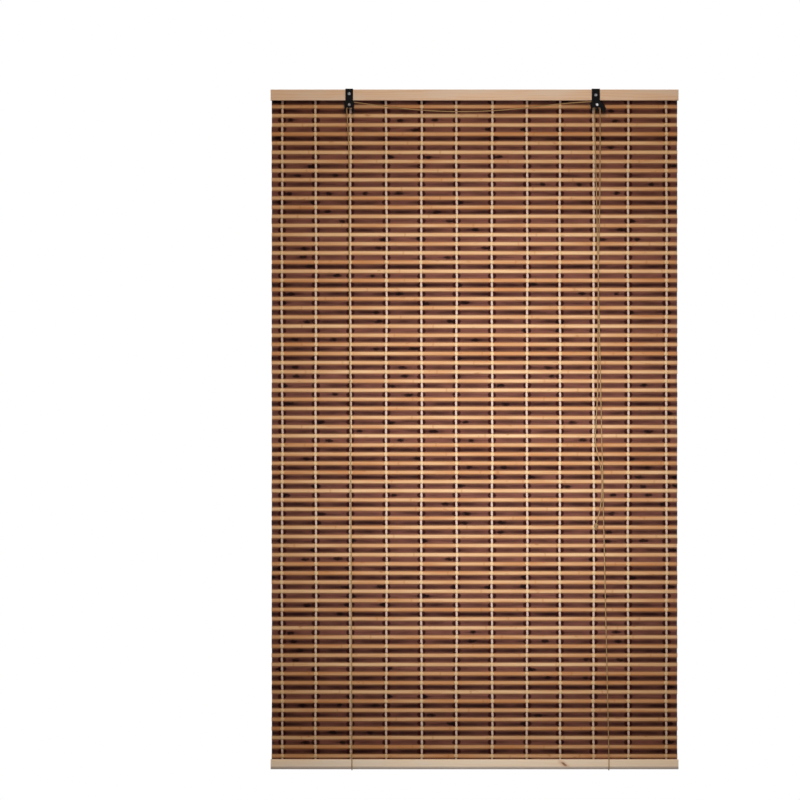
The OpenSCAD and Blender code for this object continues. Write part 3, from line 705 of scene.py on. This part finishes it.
def smooth_line(points):
    """Points along a smooth curve through the route, closer together than the route's own."""
    headings = [(b - a).normalized() for a, b in zip(points, points[1:])]
    spans = [(b - a).length for a, b in zip(points, points[1:])]
    line = [points[0]]
    for i, span in enumerate(spans):
        leave = (headings[max(i - 1, 0)] + headings[i]).normalized()
        arrive = (headings[i] + headings[min(i + 1, len(headings) - 1)]).normalized()
        first = points[i] + leave * 0.36 * min(span, spans[max(i - 1, 0)])
        second = points[i + 1] - arrive * 0.36 * min(span, spans[min(i + 1, len(spans) - 1)])
        for step in range(1, CORD_STEPS + 1):
            t = step / CORD_STEPS
            line.append(
                points[i] * (1 - t) ** 3 + first * 3 * t * (1 - t) ** 2
                + second * 3 * t * t * (1 - t) + points[i + 1] * t ** 3
            )
    return line


def cord_along(name, line, radius):
    """A round tube drawn along the line, with its lengths and turns in the UV map."""
    mesh = bmesh.new()
    laid = mesh.loops.layers.uv.new("run")
    side = Vector((0.3, 1, 0.2))
    rings, travelled = [], [0.0]
    for i, point in enumerate(line):
        way = (line[min(i + 1, len(line) - 1)] - line[max(i - 1, 0)]).normalized()
        side = (side - way * side.dot(way)).normalized()
        up = way.cross(side)
        turns = [2 * math.pi * k / CORD_SIDES for k in range(CORD_SIDES)]
        rim = [point + radius * (math.cos(turn) * side + math.sin(turn) * up) for turn in turns]
        rings.append([mesh.verts.new(place) for place in rim])
        if i:
            travelled.append(travelled[-1] + (point - line[i - 1]).length)
    for i in range(len(rings) - 1):
        for k in range(CORD_SIDES):
            n = (k + 1) % CORD_SIDES
            face = mesh.faces.new((rings[i][k], rings[i][n], rings[i + 1][n], rings[i + 1][k]))
            face.smooth = True
            for loop, (run, turn) in zip(face.loops, ((i, k), (i, k + 1), (i + 1, k + 1), (i + 1, k))):
                loop[laid].uv = (travelled[run] / (2 * math.pi * radius), turn / CORD_SIDES)
    mesh.faces.new(list(reversed(rings[0])))
    mesh.faces.new(rings[-1])
    piece = bpy.data.objects.new(name, bpy.data.meshes.new(name))
    mesh.to_mesh(piece.data)
    mesh.free()
    bpy.context.collection.objects.link(piece)
    return piece


def braided_khaki():
    """Two sets of plaits that cross, wound round the cord along its UV map."""
    material, tree, bsdf = new_finish("braided_khaki")
    run, turn, _ = shade(tree, "SeparateXYZ", Vector=shade(tree, "TexCoord").outputs["UV"]).outputs
    plaits = []
    for way in (1.0, -1.0):
        wound = calc(tree, "MULTIPLY", turn, PLAIT_TURN * way)
        wound = calc(tree, "ADD", calc(tree, "MULTIPLY", run, PLAIT_RUN), wound)
        plaits.append(calc(tree, "ABSOLUTE", calc(tree, "SINE", wound)))
    braid = calc(tree, "MULTIPLY", plaits[0], plaits[1])
    where = shade(tree, "TexCoord").outputs["Object"]
    age = stretched_noise(tree, where, (25, 25, 25), 3.0)
    shown = calc(tree, "ADD", calc(tree, "MULTIPLY", braid, 0.5), calc(tree, "MULTIPLY", age, 0.5))
    wire(
        tree, bsdf, Base_Color=mix(tree, shown, tint(149, 116, 76), tint(201, 167, 121)),
        Roughness=0.85, Specular_IOR_Level=0.08, Sheen_Weight=0.05,
        Normal=relief(tree, braid, 0.0003, 0.7),
    )
    return material


khaki = braided_khaki()
cord_lines = {
    "left": smooth_line([Vector(p) / 1000 for p in LEFT_ROUTE]),
    "right": smooth_line([Vector(p) / 1000 for p in RIGHT_ROUTE]),
}
lift_cords = {
    side: cord_along(f"{side}_lift_cord", line, CORD_THICK / 2) for side, line in cord_lines.items()
}


# Knots: the end of each cord is wound twice round itself behind the head rail, and both tails
# are bound by one barrel of four turns, with two short ends left below it.
COIL_STEPS = 12
BARREL_RADIUS, BARREL_RISE, BARREL_TURNS = 0.0036, 0.00225, 4
END_RADIUS, END_RISE, END_TURNS = 0.00225, 0.00215, 2
END_DEPTH = -0.0082
LEFT_SPLAY, RIGHT_SPLAY = Vector((-0.0012, -0.0009, 0)), Vector((0.0018, 0.0007, 0))


def coil(top, down, radius, turns, rise):
    """A line that winds round the axis from top along down, with both ends tucked in."""
    across = down.orthogonal().normalized()
    third = down.cross(across)
    steps = round(COIL_STEPS * turns)
    line = []
    for i in range(steps + 1):
        tucked = radius * min(1, 0.25 + 0.25 * min(i, steps - i))
        angle = 2 * math.pi * i / COIL_STEPS
        aside = tucked * (math.cos(angle) * across + math.sin(angle) * third)
        line.append(top + down * rise * i / COIL_STEPS + aside)
    return line


def tie(name, strands):
    """Joins the strands of a knot into one piece."""
    pieces = [cord_along(f"{name}_{i}", strand, CORD_THICK / 2) for i, strand in enumerate(strands)]
    knot = join_up(pieces, name)
    dress(knot, khaki)
    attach(knot, "blind")
    return knot


ends = [cord_lines["left"][-1], cord_lines["right"][-1]]
lead = (cord_lines["left"][-1] - cord_lines["left"][-2]).normalized()
knot_top = (ends[0] + ends[1]) / 2
barrel = coil(knot_top + lead * 0.0014, lead, BARREL_RADIUS, BARREL_TURNS, BARREL_RISE)
cores = []
for end, splay in zip(ends, (LEFT_SPLAY, RIGHT_SPLAY)):
    middle = end + lead * 0.010
    cores.append(smooth_line([
        end - lead * 0.0006, middle,
        middle + lead * 0.003 + splay * 0.6, middle + lead * 0.0055 + splay * 1.6,
    ]))
pull_knot = tie("pull_knot_barrel", [barrel, *cores])
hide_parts("pull_knot")

for side, line in cord_lines.items():
    start = line[0]
    foot = Vector((start.x, END_DEPTH, start.z + 0.0012))
    wound = coil(foot, Vector((0, 0, 1)), END_RADIUS, END_TURNS, END_RISE)
    core = smooth_line([
        start, Vector((start.x, END_DEPTH - 0.0005, start.z + 0.0025)),
        Vector((start.x, END_DEPTH, start.z + 0.0072)),
    ])
    tie(f"{side}_end_knot", [wound, core])
    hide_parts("end_knots")

for side, piece in lift_cords.items():
    dress(piece, khaki)
    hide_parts(f"{side}_cord")
    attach(piece, "blind")
    line = cord_lines[side]


# Studio: a pale floor below the hanging blind, a wide warm lamp in front of it and one behind,
# and a cooler pool of light on the middle of the mat. The room is white, and the camera stands
# level in front.
FLOOR_DROP, FLOOR_WIDE = -1.75, 3
FLOOR_GREY, FLOOR_LIFT = 0.5, 0.49
AMBIENT = 0.137
MAT_CENTRE = Vector((0, 0, -0.75))
POOL_MIDDLE = Vector((0.045, 0, -0.75))
bpy.ops.object.select_all(action="DESELECT")
bpy.ops.mesh.primitive_plane_add(size=FLOOR_WIDE, location=(0, 0, FLOOR_DROP))
floor = bpy.context.object
floor.name = "floor"


def looked_at(tree):
    """1 for what the eye sees directly, in a mirror or through glass, and 0 for scattered light."""
    rays = shade(tree, "LightPath").outputs
    seen = calc(tree, "ADD", rays["Is Camera Ray"], rays["Is Glossy Ray"])
    return calc(tree, "MINIMUM", calc(tree, "ADD", seen, rays["Is Transmission Ray"]), 1.0)


floor_finish, floor_tree, floor_bsdf = new_finish("pale_floor")
wire(
    floor_tree, floor_bsdf, Base_Color=(FLOOR_GREY, FLOOR_GREY, FLOOR_GREY, 1),
    Roughness=0.8, Specular_IOR_Level=0.2, Emission_Color=(1, 1, 1, 1),
    Emission_Strength=calc(floor_tree, "MULTIPLY", looked_at(floor_tree), FLOOR_LIFT),
)
dress(floor, floor_finish)


def lamp(name, kind, place, aim, power, **settings):
    """A lamp that looks at its aim and isn't seen itself."""
    light = bpy.data.lights.new(name, kind)
    light.energy = power
    for setting, value in settings.items():
        setattr(light, setting, value)
    made = bpy.data.objects.new(name, light)
    made.location = place
    made.rotation_euler = (aim - place).to_track_quat("-Z", "Y").to_euler()
    made.visible_camera = False
    bpy.context.collection.objects.link(made)
    return made


lamp("key_lamp", "AREA", Vector((0.1, -2.7, 1.6)), MAT_CENTRE, 54, size=1.6, color=(1, 0.81, 0.62))
lamp("rear_lamp", "AREA", Vector((0.8, 2.8, 0.6)), MAT_CENTRE, 91, size=2.0)
lamp(
    "pool_lamp", "SPOT", Vector((0.02, -3.0, -0.77)), POOL_MIDDLE, 415, color=(0.86, 0.92, 1),
    spot_size=math.radians(32.5), spot_blend=1.0, shadow_soft_size=0.3,
).scale = (0.74, 1, 1)

world = bpy.data.worlds.new("white_room")
bpy.context.scene.world = world
world.use_nodes = True
tree = world.node_tree
strength = calc(tree, "ADD", calc(tree, "MULTIPLY", looked_at(tree), 1 - AMBIENT), AMBIENT)
wire(tree, tree.nodes["Background"], Color=(1, 1, 1, 1), Strength=strength)

camera = bpy.data.objects.new("camera", bpy.data.cameras.new("camera"))
camera.data.sensor_width = 36
camera.data.lens = 244.2
camera.location = (-0.160, -12, -0.685)
camera.rotation_euler = (math.radians(90), 0, 0)
bpy.context.collection.objects.link(camera)
bpy.context.scene.camera = camera
bpy.context.scene.view_settings.view_transform = "Standard"

bpy.context.view_layer.update()
